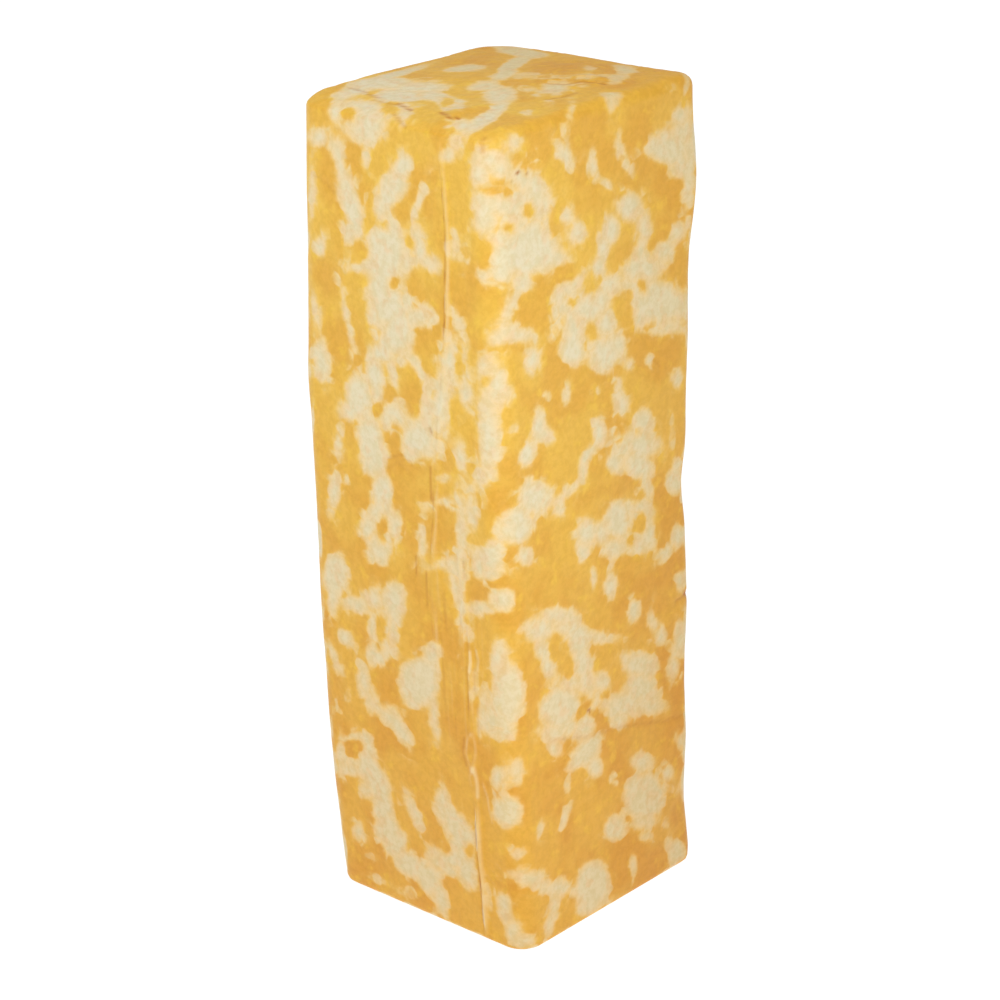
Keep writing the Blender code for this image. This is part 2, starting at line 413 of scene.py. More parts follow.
def drift(form, points):
    # How far the leaning and bowed long edges carry a point sideways. A point takes a share of each
    # edge's lean and bow by how near it lies, and an edge's own bumps fade faster.
    x, y, z = points.T
    up = np.clip(z / form["height"], 0.0, 1.0)[:, None]
    moved = np.zeros((len(points), 2))
    for name, (signX, signY) in form["corners"].items():
        share = ((0.5 + signX * x / form["width"]) * (0.5 + signY * y / form["depth"]))[:, None]
        lean = np.array(form["footDrift"][name]) * (1 - up) + np.array(form["topDrift"][name]) * up
        moved += share * (lean + np.array(form["bow"][name]) * 4 * up * (1 - up))
        outward = np.array((signX, signY)) / np.sqrt(2)
        for height, halfLength, rise in form["edgeWaves"][name]:
            moved += share**2 * rise * outward * ridge(z - height, halfLength)[:, None]
    return moved


def shapeLoaf(form, folds, block):
    # The square block's points carried to the loaf: faces swell, folds stand, edges lean and bow
    x, y, z = block.T
    halfWidth, halfDepth, height = form["width"] / 2, form["depth"] / 2, form["height"]
    relief, paintedShade = foldRelief(folds, form, block)
    onLeft = smoothStep(halfWidth + x, *form["faceBlend"])
    leftOut = onLeft * (swell(form, "left", y, z) + relief)
    rightOut = smoothStep(halfWidth - x, *form["faceBlend"]) * swell(form, "right", y, z)
    frontOut = smoothStep(halfDepth + y, *form["faceBlend"]) * swell(form, "front", x, z)
    backOut = smoothStep(halfDepth - y, *form["faceBlend"]) * swell(form, "back", x, z)
    side = smoothStep(z, 0, form["footBlend"])
    crown = form["topCrown"] * (1 - (x / halfWidth) ** 2) * (1 - (y / halfDepth) ** 2)
    shoulder = form["shoulderDrop"] * smoothStep(x, form["shoulderWidth"] - halfWidth, -halfWidth)
    gather = folds["gather"]
    fromGather = (x - gather["place"][0]) / gather["reach"][0], (y - gather["place"][1]) / gather["reach"][1]
    gathered = gather["rise"] * np.exp(-fromGather[0] ** 2 - fromGather[1] ** 2)
    upOut = crown - shoulder + swell(form, "top", x, y) + gathered
    moved = drift(form, block)
    shaped = np.stack([
        x + moved[:, 0] + side * (rightOut - leftOut),
        y + moved[:, 1] + side * (backOut - frontOut),
        z + upOut * smoothStep(z, height - form["topRadius"], height),
    ], axis=1)
    # with the folds' painted shade and painted highlight, on the left face alone
    return shaped, paintedShade * onLeft * side


def fitToSolid(points, node):
    # scaled and moved the last fraction of a millimetre into the solid's own box
    low, high = (np.array(corner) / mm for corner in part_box(node))
    ownLow, ownHigh = points.min(axis=0), points.max(axis=0)
    return low + (points - ownLow) * (high - low) / (ownHigh - ownLow)


def normalsOf(mesh):
    normals = np.empty(len(mesh.vertices) * 3, dtype=np.float32)
    mesh.vertex_normals.foreach_get("vector", normals)
    return normals.reshape(-1, 3).astype(float)


# Small marks on the faces that the photograph shows, each a line of its pixels:
# depth in mm (below 0 stands up), half width in mm, how much painted shade (below 0 painted highlight)
loafMarks = dict(
    acrossFront=([(551, 740), (590, 736), (620, 727), (665, 721), (684, 715)], 0.30, 1.1, 0.30),
    edgeNick=([(677, 601), (688, 592)], 0.50, 0.9, 0.50),
    edgeSpot=([(684, 592), (687, 592)], 0.20, 0.8, 0.90),
    cornerPinch=([(484, 137), (482, 150)], 0.20, 1.1, 0.45),
    # a painted shadow of the film below the streak at the near corner
    cornerFilmShadow=([(478, 124), (490, 119), (501, 111)], 0.10, 0.9, 0.18),
    leftSlant=([(311, 172), (323, 180), (333, 191)], 0.25, 0.9, 0.30),
    shoulderCutA=([(399, 102), (411, 109)], 0.35, 0.8, 0.70),
    shoulderCutB=([(394, 113), (405, 126)], 0.20, 0.8, 0.40),
    shoulderLine=([(349, 87), (362, 90), (379, 97)], 0.20, 0.9, 0.50),
    thumbArcA=([(388, 458), (400, 454), (411, 463)], 0.25, 0.8, 0.35),
    thumbArcB=([(387, 468), (397, 462), (406, 470)], 0.25, 0.8, 0.25),
    gatherEdge=([(441, 111), (449, 116), (459, 117)], 0.35, 0.9, 0.70),
    gatherTop=([(447, 107), (460, 110)], -0.40, 0.9, -0.35),
    knotLeft=([(471, 733), (467, 742), (466, 752), (469, 762), (471, 771)], -0.25, 0.8, -0.35),
    knotRight=([(471, 733), (475, 742), (476, 752), (473, 763), (474, 772)], -0.20, 0.8, -0.28),
    knotShade=([(464, 738), (463, 752), (466, 765)], 0.08, 0.8, 0.38),
    knotHook=([(473, 768), (470, 777), (472, 786)], -0.20, 0.6, -0.35),
    knotTail=([(473, 768), (476, 776), (478, 786), (478, 797)], -0.40, 0.8, -0.55),
    knotDrop=([(484, 785), (488, 797), (490, 810), (493, 822)], -0.30, 0.7, -0.45),
    stripDashA=([(459, 556), (460, 575), (461, 600), (464, 625), (465, 641)], -0.25, 0.7, -0.45),
    stripDashB=([(470, 652), (471, 662), (469, 672)], -0.30, 0.7, -0.60),
    stripDashC=([(477, 651), (479, 661), (478, 671)], -0.30, 0.7, -0.55),
    stripShadeA=([(463, 561), (464, 582)], 0.12, 0.7, 0.45),
    stripShadeB=([(474, 652), (475, 672), (474, 690)], 0.08, 0.9, 0.25),
    stripShadeC=([(430, 466), (430, 482), (431, 499)], 0.12, 0.7, 0.50),
    stripShadeD=([(416, 556), (416, 574)], 0.10, 0.7, 0.45),
    stripShadeE=([(426, 572), (427, 606)], 0.10, 0.7, 0.40),
    topRidgeA=([(548, 79), (565, 79), (576, 75), (592, 75), (609, 79)], -0.40, 0.9, 0.0),
    topGrooveA=([(548, 82), (566, 83), (584, 80), (605, 83)], 0.30, 0.9, 0.45),
    topRidgeB=([(575, 86), (594, 83), (625, 81)], -0.30, 0.9, 0.0),
    topGrooveB=([(547, 98), (565, 95), (577, 91)], 0.30, 0.9, 0.45),
    topGrooveC=([(372, 99), (396, 103)], 0.20, 0.9, 0.35),
    pitA=([(517, 172), (519, 172)], 0.30, 0.6, 0.95),
    pitB=([(526, 172), (528, 173)], 0.20, 0.5, 0.55),
    pitC=([(512, 179), (511, 182)], 0.15, 0.6, 0.35),
    brownDot=([(589, 710), (590, 711)], 0.30, 0.7, 1.00),
    # a dent, darker in colour
    darkenedDent=([(429, 427), (431, 433)], 0.35, 0.8, 0.45),
    roughSpot=([(653, 357), (661, 366)], 0.35, 0.8, 0.25),
)

# The film's fine slanting wrinkles right of the lower fold: the first one's pixel, the way to the next
# one, its run, how many, how deep, wide, and how much painted shade and painted highlight
slantWrinkles = dict(
    first=(485, 873), step=(2.9, -2.3), run=(10, 12), count=6, depth=0.07, halfWidth=0.6, paintedShade=0.24,
)

# Finer unevenness of the pressed curd: cell in mm across and along, how high, seed of its random slopes
curdRelief = (((11, 11, 15), 0.10, 21), ((4.6, 4.6, 5.6), 0.05, 22), ((2.4, 2.4, 2.9), 0.03, 23))
topWrinkles = dict(cell=3.4, stretch=5.0, height=0.12, seed=31, startBelow=(3, 1))


def distanceToLine(points, places):
    # the shortest way from each point to a line of straight runs through these places
    nearest = np.full(len(points), np.inf)
    for start, end in zip(places[:-1], places[1:]):
        run = end - start
        share = np.clip((points - start) @ run / (run @ run), 0, 1)
        nearest = np.minimum(nearest, np.linalg.norm(points - start - share[:, None] * run, axis=1))
    return nearest


def slantMarks(wrinkles):
    # lines side by side, sunk with painted shade and raised with painted highlight by turns
    marks = []
    for order in range(wrinkles["count"]):
        start = np.array(wrinkles["first"]) + np.array(wrinkles["step"]) * order
        side = 1 if order % 2 else -1
        pixels = [start, start + wrinkles["run"]]
        marks.append((pixels, side * wrinkles["depth"], wrinkles["halfWidth"], side * wrinkles["paintedShade"]))
    return marks


def markRelief(points, seen, marks):
    # each mark is a bell across its line, taken off the surface's height and added to its painted shade
    out, paintedShade = np.zeros(len(points)), np.zeros(len(points))
    for pixels, depth, halfWidth, paintedShadeAmount in marks:
        places = np.array([seen.place(pixel) for pixel in pixels])
        bell = ridge(distanceToLine(points, places), halfWidth)
        out -= depth * bell
        paintedShade += paintedShadeAmount * bell
    return out, paintedShade


def curdHeight(points, form):
    # Pressed curd is never flat: three sizes of lattice unevenness. The top is wrinkled too, in lines
    # that run from its left corner to its right one.
    total = sum(height * unevenness(points, cell, seed) for cell, height, seed in curdRelief)
    along = (points[:, 0] - points[:, 1]) / np.sqrt(2) / topWrinkles["stretch"]
    across = (points[:, 0] + points[:, 1]) / np.sqrt(2)
    flat = np.stack([along, across, np.zeros(len(points))], axis=1)
    wrinkle = 1 - 2 * np.abs(unevenness(flat, topWrinkles["cell"], topWrinkles["seed"]))
    onTop = smoothStep(form["height"] - points[:, 2], *topWrinkles["startBelow"])
    above = smoothStep(points[:, 2], 0.0, 3.0)  # the foot stays flat where it stands
    return total * above + topWrinkles["height"] * wrinkle * onTop


# The marbling. Curds that the photograph shows are ovals in its pixels:
# (middle across, middle down, width, height), and how far the top leans to the right, in degrees
marblingFront = dict(
    pale=[
        (490, 158, 29, 20), (478, 176, 16, 34), (501, 169, 22, 20), (533, 186, 24, 26), (514, 204, 59, 29),
        (524, 249, 67, 52), (556, 256, 18, 12, 20), (502, 268, 25, 29), (521, 281, 16, 20),
        (511, 305, 9, 25, 20), (483, 273, 9, 13), (515, 141, 13, 16), (563, 153, 11, 28, -25),
        (593, 164, 11, 24), (607, 184, 6, 8, -30), (630, 204, 26, 27), (645, 228, 10, 28),
        (619, 146, 5, 13), (626, 163, 6, 15, -25), (668, 147, 45, 31), (682, 130, 18, 20),
        (680, 166, 19, 22), (688, 188, 8, 34), (567, 213, 11, 13), (578, 233, 15, 21, -25),
        (611, 229, 17, 26), (603, 247, 11, 25), (599, 266, 12, 14), (484, 212, 22, 46), (520, 176, 14, 20),
        (545, 205, 10, 24), (534, 228, 22, 18), (678, 230, 14, 24, 25), (665, 249, 29, 19),
        (643, 249, 13, 29), (646, 268, 35, 23), (634, 268, 15, 18), (659, 301, 52, 42), (563, 297, 20, 26),
        (576, 282, 7, 18, 35), (587, 308, 37, 27), (611, 283, 17, 20), (602, 299, 16, 22),
        (573, 327, 15, 29), (606, 323, 17, 22), (573, 349, 24, 28), (606, 352, 30, 28), (619, 343, 14, 22),
        (602, 368, 12, 12), (499, 337, 18, 17), (483, 364, 12, 22, 12), (520, 334, 32, 16, 10),
        (533, 358, 13, 24), (497, 384, 14, 34), (496, 394, 26, 13), (650, 360, 6, 9), (630, 364, 6, 7),
        (677, 379, 10, 20), (565, 395, 8, 16), (617, 388, 7, 18), (622, 404, 10, 22), (540, 425, 13, 29),
        (546, 434, 16, 13), (527, 453, 15, 22, 35), (489, 445, 22, 58), (485, 412, 9, 18),
        (599, 430, 15, 26), (587, 454, 8, 20, 25), (584, 471, 8, 20), (571, 490, 8, 20, 50),
        (561, 505, 9, 14), (644, 420, 19, 26), (642, 444, 36, 25), (622, 448, 18, 12), (615, 462, 17, 18),
        (639, 466, 26, 24), (647, 485, 9, 15), (674, 480, 19, 26), (678, 465, 9, 15), (534, 496, 34, 33),
        (518, 518, 29, 22), (508, 530, 27, 20), (493, 550, 20, 22), (489, 559, 20, 22), (490, 574, 20, 12),
        (474, 516, 6, 22), (617, 519, 22, 34), (643, 510, 22, 19), (649, 535, 13, 28), (636, 543, 22, 20),
        (614, 547, 22, 17), (586, 532, 21, 24), (583, 552, 11, 18), (678, 535, 15, 22),
        (666, 554, 11, 24, 35), (525, 556, 15, 17), (593, 578, 6, 12), (611, 584, 12, 32),
        (680, 579, 9, 19), (502, 599, 29, 24), (634, 609, 13, 25), (652, 620, 7, 24), (661, 635, 11, 16),
        (560, 615, 34, 18), (539, 631, 30, 22), (541, 650, 14, 22), (549, 667, 12, 18), (578, 638, 22, 32),
        (583, 664, 21, 28), (587, 681, 12, 16), (561, 709, 42, 44), (584, 726, 25, 24), (554, 748, 13, 17),
        (639, 664, 26, 25), (650, 668, 16, 18), (641, 689, 35, 26), (625, 704, 43, 24), (649, 705, 29, 17),
        (618, 719, 21, 18), (602, 682, 15, 18), (595, 701, 11, 22, 30), (680, 638, 11, 38),
        (674, 667, 12, 25), (507, 694, 37, 64), (497, 656, 15, 34), (506, 730, 17, 26),
        (590, 748, 18, 28, 35), (582, 757, 14, 40, 50), (595, 767, 15, 22), (497, 778, 15, 24),
        (517, 771, 15, 22), (641, 761, 22, 18), (645, 796, 42, 46), (668, 772, 10, 14), (614, 829, 20, 25),
        (680, 742, 6, 16), (506, 812, 34, 32), (564, 818, 5, 22, 20), (518, 853, 13, 12),
        (593, 884, 35, 46, 4), (559, 889, 30, 14), (531, 879, 26, 15), (554, 909, 7, 34, 15),
        (633, 866, 7, 20), (677, 852, 19, 26), (526, 941, 27, 12), (504, 906, 14, 33, -15),
        (514, 926, 9, 16, -25), (571, 106, 5, 14, 10), (634, 284, 20, 8, -5), (640, 316, 14, 20),
        (668, 326, 24, 12), (556, 312, 11, 22, 5), (483, 478, 12, 16), (601, 533, 12, 22),
        (630, 508, 14, 10), (520, 532, 26, 18, -40), (479, 566, 12, 20), (480, 608, 20, 12),
        (564, 628, 22, 14), (568, 683, 20, 12), (556, 733, 30, 14), (492, 722, 16, 26), (600, 637, 22, 8),
        (625, 660, 12, 14), (540, 828, 7, 16, 10), (643, 822, 30, 11), (588, 908, 24, 14, -30),
        (510, 934, 12, 14), (549, 926, 9, 18, 15), (683, 302, 10, 34), (691, 150, 8, 50),
        (484, 424, 10, 32), (483, 714, 9, 34), (544, 885, 14, 11, -20),
    ],
    faint=[
        (534, 154, 12, 12), (555, 327, 10, 20), (670, 416, 7, 13), (526, 111, 11, 5), (549, 103, 12, 6),
        (671, 86, 11, 7), (512, 877, 15, 15), (547, 396, 8, 10), (594, 391, 10, 10), (513, 430, 7, 14, 20),
        (613, 424, 5, 30, 15), (673, 437, 6, 18), (614, 779, 8, 14), (589, 783, 10, 10), (568, 787, 6, 22),
        (666, 822, 8, 11), (648, 838, 14, 10), (611, 899, 16, 7, -30),
    ],
    deep=[
        (498, 190, 24, 6), (529, 211, 12, 14), (508, 226, 12, 11), (653, 242, 5, 12, 30),
        (642, 286, 6, 12), (682, 265, 16, 44), (571, 301, 7, 9), (592, 335, 10, 14), (508, 551, 8, 7),
        (640, 522, 11, 17), (631, 541, 8, 12), (556, 644, 9, 18), (568, 666, 12, 21), (606, 694, 8, 9),
        (585, 708, 8, 24, 35), (607, 656, 22, 24), (617, 674, 9, 16), (628, 819, 9, 9), (482, 253, 16, 30),
        (470, 560, 5, 24),
    ],
)
marblingLeft = dict(
    pale=[
        (365, 121, 42, 32), (366, 133, 22, 20), (366, 152, 4, 16), (334, 111, 12, 18),
        (319, 136, 19, 18, -35), (336, 149, 6, 18, -30), (341, 168, 8, 40, -8), (352, 206, 19, 58, -10),
        (349, 232, 12, 14), (311, 197, 5, 44), (405, 114, 12, 11), (402, 167, 20, 30, 15),
        (394, 184, 25, 26, 15), (386, 198, 22, 20), (379, 208, 11, 16), (419, 200, 9, 36, 22),
        (382, 254, 42, 54), (394, 229, 13, 32, -15), (418, 245, 15, 28, -10), (428, 261, 12, 20, -60),
        (360, 266, 18, 11), (383, 285, 30, 36), (408, 300, 8, 14), (320, 244, 10, 18), (388, 305, 37, 34),
        (398, 331, 27, 45), (424, 316, 22, 13, 10), (418, 314, 18, 12), (347, 315, 5, 52, -12),
        (321, 360, 17, 44, -8), (374, 373, 18, 42, -10), (357, 392, 22, 40, -10), (352, 408, 24, 20),
        (380, 352, 20, 16, 35), (393, 372, 5, 28, -15), (417, 368, 9, 32, -32), (449, 360, 14, 38),
        (441, 402, 16, 70), (466, 390, 12, 34, -15), (455, 378, 14, 16), (458, 320, 5, 22, -20),
        (391, 413, 17, 18), (371, 440, 26, 52, -8), (392, 420, 26, 18), (418, 437, 32, 34),
        (427, 412, 12, 34), (376, 460, 20, 24), (338, 441, 8, 22), (462, 458, 9, 24, -10),
        (334, 492, 12, 36, 5), (382, 490, 23, 34), (381, 514, 26, 22), (367, 527, 13, 20),
        (396, 527, 13, 22), (381, 548, 21, 30), (382, 561, 7, 10), (422, 541, 8, 32), (447, 501, 24, 8),
        (460, 535, 9, 66), (470, 502, 6, 24), (446, 562, 30, 9, -10), (454, 583, 8, 32, -15),
        (462, 610, 5, 46), (335, 574, 25, 42), (332, 600, 9, 28), (393, 600, 25, 32), (373, 599, 15, 18),
        (358, 605, 18, 18, -20), (373, 626, 7, 34), (393, 627, 11, 40), (380, 652, 26, 24),
        (344, 637, 12, 20, -30), (333, 654, 6, 32, -20), (432, 652, 13, 14), (411, 667, 10, 5),
        (364, 683, 10, 40, -12), (376, 706, 6, 20, -40), (398, 727, 12, 36, -22), (390, 717, 10, 10),
        (419, 680, 40, 46), (431, 655, 13, 20), (418, 699, 26, 18), (434, 716, 8, 42, -5),
        (404, 735, 9, 24, -25), (358, 749, 32, 36), (370, 768, 20, 30, -20), (379, 786, 20, 30, -20),
        (383, 808, 19, 34), (368, 791, 16, 12), (386, 829, 26, 30), (395, 843, 26, 26),
        (409, 865, 24, 34, -52), (429, 878, 24, 32, -15), (441, 902, 13, 36, -14), (340, 748, 4, 30),
        (414, 812, 11, 42, -25), (442, 803, 16, 36, -5), (454, 823, 20, 32, -20), (462, 838, 27, 26),
        (467, 868, 18, 42, -5), (452, 859, 27, 18), (434, 853, 11, 8), (437, 862, 14, 10, 30),
        (358, 832, 10, 22, -10), (362, 106, 34, 15), (448, 154, 13, 13), (351, 770, 18, 13),
        (449, 869, 20, 11, 30), (370, 466, 14, 22, -20), (374, 545, 10, 22), (350, 601, 10, 11),
        (413, 455, 16, 11), (430, 452, 11, 8), (406, 262, 11, 24, 10), (374, 314, 12, 26, -10),
        (384, 340, 12, 18), (402, 362, 12, 7, 20), (377, 392, 11, 18), (460, 350, 11, 18),
        (314, 306, 7, 32, -8),
    ],
    faint=[
        (454, 243, 17, 28), (466, 250, 8, 32, 8), (341, 262, 6, 7), (347, 188, 8, 12), (443, 478, 11, 7),
        (346, 477, 4, 10, -20), (421, 568, 9, 9), (469, 623, 12, 34), (348, 695, 6, 13), (334, 706, 6, 16),
        (475, 684, 8, 26), (373, 857, 8, 14, -60), (408, 891, 13, 9), (404, 868, 12, 7),
        (376, 879, 6, 18, -70), (487, 897, 9, 28, -12), (342, 99, 36, 8), (449, 120, 8, 16),
        (457, 146, 12, 24, -15), (408, 894, 18, 6, 24),
    ],
    deep=[
        (347, 112, 12, 11), (396, 281, 7, 11, 30), (409, 240, 7, 14, -10), (459, 361, 6, 24),
        (395, 440, 13, 25), (410, 387, 21, 48, -10), (376, 409, 10, 13, 30), (383, 526, 9, 21),
        (444, 531, 20, 46), (381, 628, 10, 32), (353, 748, 16, 17, -40), (470, 850, 7, 10),
        (446, 848, 8, 8), (359, 249, 15, 22),
    ],
)
marblingTop = dict(
    pale=[
        (378, 82, 64, 12, -4), (356, 90, 30, 9, -10), (399, 95, 46, 12, 3), (435, 95, 36, 9, 8),
        (451, 105, 24, 10, 10), (466, 67, 40, 6, -6), (485, 85, 34, 9, -4), (497, 97, 16, 13),
        (463, 124, 16, 12), (484, 118, 36, 11, -25), (500, 93, 32, 14), (499, 107, 22, 9, -25),
        (521, 51, 52, 9, 8), (514, 63, 36, 11, -27), (503, 74, 28, 8, -18), (556, 87, 26, 12, -5),
        (611, 94, 15, 7), (611, 101, 10, 17, -12), (617, 77, 16, 8, -10), (625, 69, 20, 8, 8),
        (688, 80, 5, 18), (681, 115, 17, 16), (337, 97, 20, 7, -12), (420, 86, 56, 10),
        (448, 99, 34, 8, 12), (396, 73, 58, 6, -16),
    ],
    faint=[
        (530, 75, 52, 7, 2), (527, 88, 20, 6, 5), (586, 75, 40, 5, -3), (590, 67, 11, 5), (582, 84, 18, 4),
        (425, 80, 34, 7), (544, 92, 20, 6, -10), (408, 103, 30, 6),
    ],
    deep=[
        (447, 102, 12, 8), (508, 83, 14, 5), (326, 99, 12, 6, -15),
    ],
)
marbling = dict(
    merge=0.85,  # how sharply neighbouring curds join, per mm
    faintest=0.15,  # faint curds stay this near the boundary, in mm
    spread=0.34,  # every seen curd is grown by this many mm, as its edge is lost in the others
    limit=4.0,  # the guide is cut off this far in mm on either side of a boundary
    depthShare=0.7,  # how deep a curd reaches under the surface, as a share of its size
    leastDepth=3.0,
    unseenCells=(((8.5, 8.5, 11.5), 6.5, 41), ((4.4, 4.4, 5.4), 2.6, 42)),
    unseenPale=-0.27,
    farthest=9.0,  # an oval counts this far from its edge, in mm
    seenFacing=(-0.12, 0.10),  # how far a point faces the camera where the seen curds take over
    # round the far edges, where the photograph shows too little, unseen curds join in: how far a point
    # faces the camera, from and to, and mm below the top
    joinFacing=(0.62, 0.32),
    joinBelow=(6, 12),
)


def insideCurds(points, seen, ovals, merge):
    # How far inside the nearest oval each point lies, in mm, below 0 outside. An oval of the photograph
    # becomes one on the plane that touches the loaf there, with some depth, and neighbours run together.
    farthest = marbling["farthest"]
    total = np.zeros(len(points))
    for across, down, width, height, *lean in ovals:
        spot = seen.nearest((across, down))
        middle = seen.onPlane((across, down), spot)
        turn = np.radians(lean[0] if lean else 0)
        sideways = np.array((np.cos(turn), np.sin(turn))) * width / 2
        upwards = np.array((np.sin(turn), -np.cos(turn))) * height / 2
        halfWidth = seen.onPlane(sideways + (across, down), spot) - middle
        halfHeight = seen.onPlane(upwards + (across, down), spot) - middle
        least = min(np.linalg.norm(halfWidth), np.linalg.norm(halfHeight))
        depth = max(marbling["leastDepth"], marbling["depthShare"] * least)
        axes = np.stack([halfWidth, halfHeight, seen.normals[spot] * depth], axis=1)
        away = np.linalg.norm((points - middle) @ np.linalg.inv(axes).T, axis=1)
        total += np.exp(merge * np.clip((1 - away) * least, -farthest, farthest))
    return np.log(total + 1e-9) / merge


def marblingGuide(points, seen):
    # In mm, above 0 in pale curd and below 0 in deep curd. Ovals lead where the photograph shows the loaf,
    # and two sizes of random unevenness elsewhere, which also add pale curds round the far edges.
    merge, limit = marbling["merge"], marbling["limit"]
    shown = {kind: [] for kind in ("pale", "faint", "deep")}
    for face in (marblingFront, marblingLeft, marblingTop):
        for kind, ovals in face.items():
            shown[kind] += ovals
    pale = insideCurds(points, seen, shown["pale"], merge) + marbling["spread"]
    faint = np.minimum(insideCurds(points, seen, shown["faint"], merge), marbling["faintest"])
    deep = insideCurds(points, seen, shown["deep"], merge)
    guide = np.clip(np.minimum(np.maximum(pale, faint), -deep), -limit, limit)
    unseen = sum(height * unevenness(points, cell, seed) for cell, height, seed in marbling["unseenCells"])
    unseen = np.clip(unseen + marbling["unseenPale"], -limit, limit)
    joined = smoothStep(seen.facing, *marbling["joinFacing"])
    joined *= smoothStep(loaf["height"] - points[:, 2], *marbling["joinBelow"])
    guide += (np.maximum(guide, unseen) - guide) * joined
    share = smoothStep(seen.facing, *marbling["seenFacing"])
    return guide * share + unseen * (1 - share)


def writeAttribute(mesh, name, values):
    attribute = mesh.attributes.new(name, "FLOAT", "POINT")
    attribute.data.foreach_set("value", np.asarray(values, dtype=np.float32))


def makeLoaf():
    block, rowCount, columnCount = blockSurface(loaf, loafGrid)
    shaped, foldPaintedShade = shapeLoaf(loaf, bagFolds, block)
    points = fitToSolid(shaped, loafNode)
    mesh = bpy.data.meshes.new("marbledLoaf")
    mesh.from_pydata((points * mm).tolist(), [], blockFaces(rowCount, columnCount))
    mesh.update()
    normals = normalsOf(mesh)
    seen = SeenSurface(points, normals, photoView)
    print("loaf laid out,", len(points), "points")

    writeAttribute(mesh, "guide", marblingGuide(points, seen))
    marked, markPaintedShade = markRelief(points, seen, [*loafMarks.values(), *slantMarks(slantWrinkles)])
    raised = points + normals * (curdHeight(points, loaf) + marked)[:, None]
    raised[:, 2] = np.maximum(raised[:, 2], 0.0)
    # painted shade in the folds' grooves and under the marks, painted highlight below 0 on their ridges
    writeAttribute(mesh, "paintedShadeAndHighlight", np.clip(foldPaintedShade + markPaintedShade, -1.0, 1.0))
    print("marbling and marks placed")

    mesh.vertices.foreach_set("co", (fitToSolid(raised, loafNode) * mm).ravel())
    mesh.update()
    mesh.shade_smooth()
    return putInScene("marbledLoaf", mesh)


# The finish. Colours are as a picture shows them, 0 to 255.
cheeseLook = dict(
    warpCell=9.0,  # mm, the slow wander of the boundaries
    warpBy=1.2,
    curdCell=3.6,
    curdBy=0.8,  # how far single curds push a boundary, in mm
    fineCell=2.0,
    fineBy=0.34,
    fadeOver=3.0,  # the ramp below runs over this far on either side of a boundary
    kindFade=0.6,  # and the change from one kind's mottling to the other's over this far
    ramp=(
        (0.00, (241, 192, 71)),
        (0.35, (243, 195, 76)),
        (0.45, (246, 203, 97)),
        (0.54, (247, 212, 137)),
        (0.64, (245, 217, 162)),
        (0.82, (241, 221, 177)),
        (1.00, (238, 224, 187)),
    ),
    # mottling: the noise that it runs from and to, its share of the curd there, and its colour
    mottleCells=(17.0, 5.2),  # mm, the slow one and the middling one
    deepMottle=dict(span=(0.40, 0.64), share=0.5, tone=(231, 167, 50)),
    deepGlow=dict(span=(0.55, 0.74), share=0.5, tone=(251, 208, 74)),
    paleBlush=dict(span=(0.50, 0.30), share=0.55, tone=(241, 207, 155)),
    # painted shade: the deep mottle takes a further share towards the foot and the far side
    paintedShadeToFoot=(260, 40, 0.30),  # mm from and to, and the deep mottle's further share there
    paintedShadeToSide=(-20, 45, 0.12),
    speck=dict(cell=2.3, span=(0.36, 0.66), tone=(247, 244, 231)),  # small curds' cast, multiplied in
    # painted shade in grooves and pits: what their colour is multiplied by
    creasePaintedShadeTone=(200, 148, 92),  # what a crease's colour is multiplied by
    # painted highlight on the crests of the folds and raised marks
    crestPaintedHighlightColour=(250, 221, 165),
    # painted shade: the loaf is a little darker and warmer towards its plain far side and its foot, where the
    # light falls off: mm from and to, and the tone
    farSidePaintedShade=((-25, 45), (250, 245, 233)),
    footPaintedShade=((190, 10), (250, 240, 223)),
    # and painted shade on its top, a little warmer away from the folded face: heights, places across, and the
    # tone
    topPaintedShade=((268, 276), (-35, 15), (252, 246, 230)),
    roughness=0.46,
    roughnessSpread=0.22,
    grainCell=0.9,
    grainShares=(0.35, 0.65),  # of the bump, the grain's and the finest curds'
    bumpStrength=0.27,
    bumpDepth=0.35,
    specular=0.35,
    subsurface=0.12,
    subsurfaceTint=(1.0, 0.62, 0.25),
    subsurfaceReach=2.2,
)


def tint(colour):
    # a picture's colour as the light that it stands for
    share = np.array(colour) / 255
    linear = np.where(share <= 0.04045, share / 12.92, ((share + 0.055) / 1.055) ** 2.4)
    return (*linear.tolist(), 1.0)


def addNode(tree, kind, **settings):
    node = tree.nodes.new(kind)
    for name, value in settings.items():
        setattr(node, name, value)
    return node


def calculate(tree, operation, first, second, third=None):
    node = addNode(tree, "ShaderNodeMath", operation=operation)
    for socket, value in zip(node.inputs, (first, second, third)):
        if isinstance(value, bpy.types.NodeSocket):
            tree.links.new(value, socket)
        elif value is not None:
            socket.default_value = value
    return node.outputs[0]


def noiseField(tree, coordinates, cell, detail=2.0, roughness=0.5):
    node = addNode(tree, "ShaderNodeTexNoise")
    node.inputs["Scale"].default_value = 1 / cell
    node.inputs["Detail"].default_value = detail
    node.inputs["Roughness"].default_value = roughness
    tree.links.new(coordinates, node.inputs["Vector"])
    return node


def blendColours(tree, share, first, second, mode="MIX"):
    node = addNode(tree, "ShaderNodeMix", data_type="RGBA", blend_type=mode)
    for socket, value in ((node.inputs[0], share), (node.inputs[6], first), (node.inputs[7], second)):
        if isinstance(value, bpy.types.NodeSocket):
            tree.links.new(value, socket)
        else:
            socket.default_value = value
    return node.outputs[2]


def between(tree, value, low, high):
    # 0 at low, 1 at high, an S-curve between
    node = addNode(tree, "ShaderNodeMapRange", interpolation_type="SMOOTHSTEP")
    tree.links.new(value, node.inputs["Value"])
    node.inputs["From Min"].default_value = low
    node.inputs["From Max"].default_value = high
    return node.outputs["Result"]


def readAttribute(tree, name):
    return addNode(tree, "ShaderNodeAttribute", attribute_name=name).outputs["Fac"]


def mottled(tree, colour, patches, within, tone):
    # the colour with patches of a tone, in one kind of curd alone
    return blendColours(tree, calculate(tree, "MULTIPLY", patches, within), colour, tint(tone))


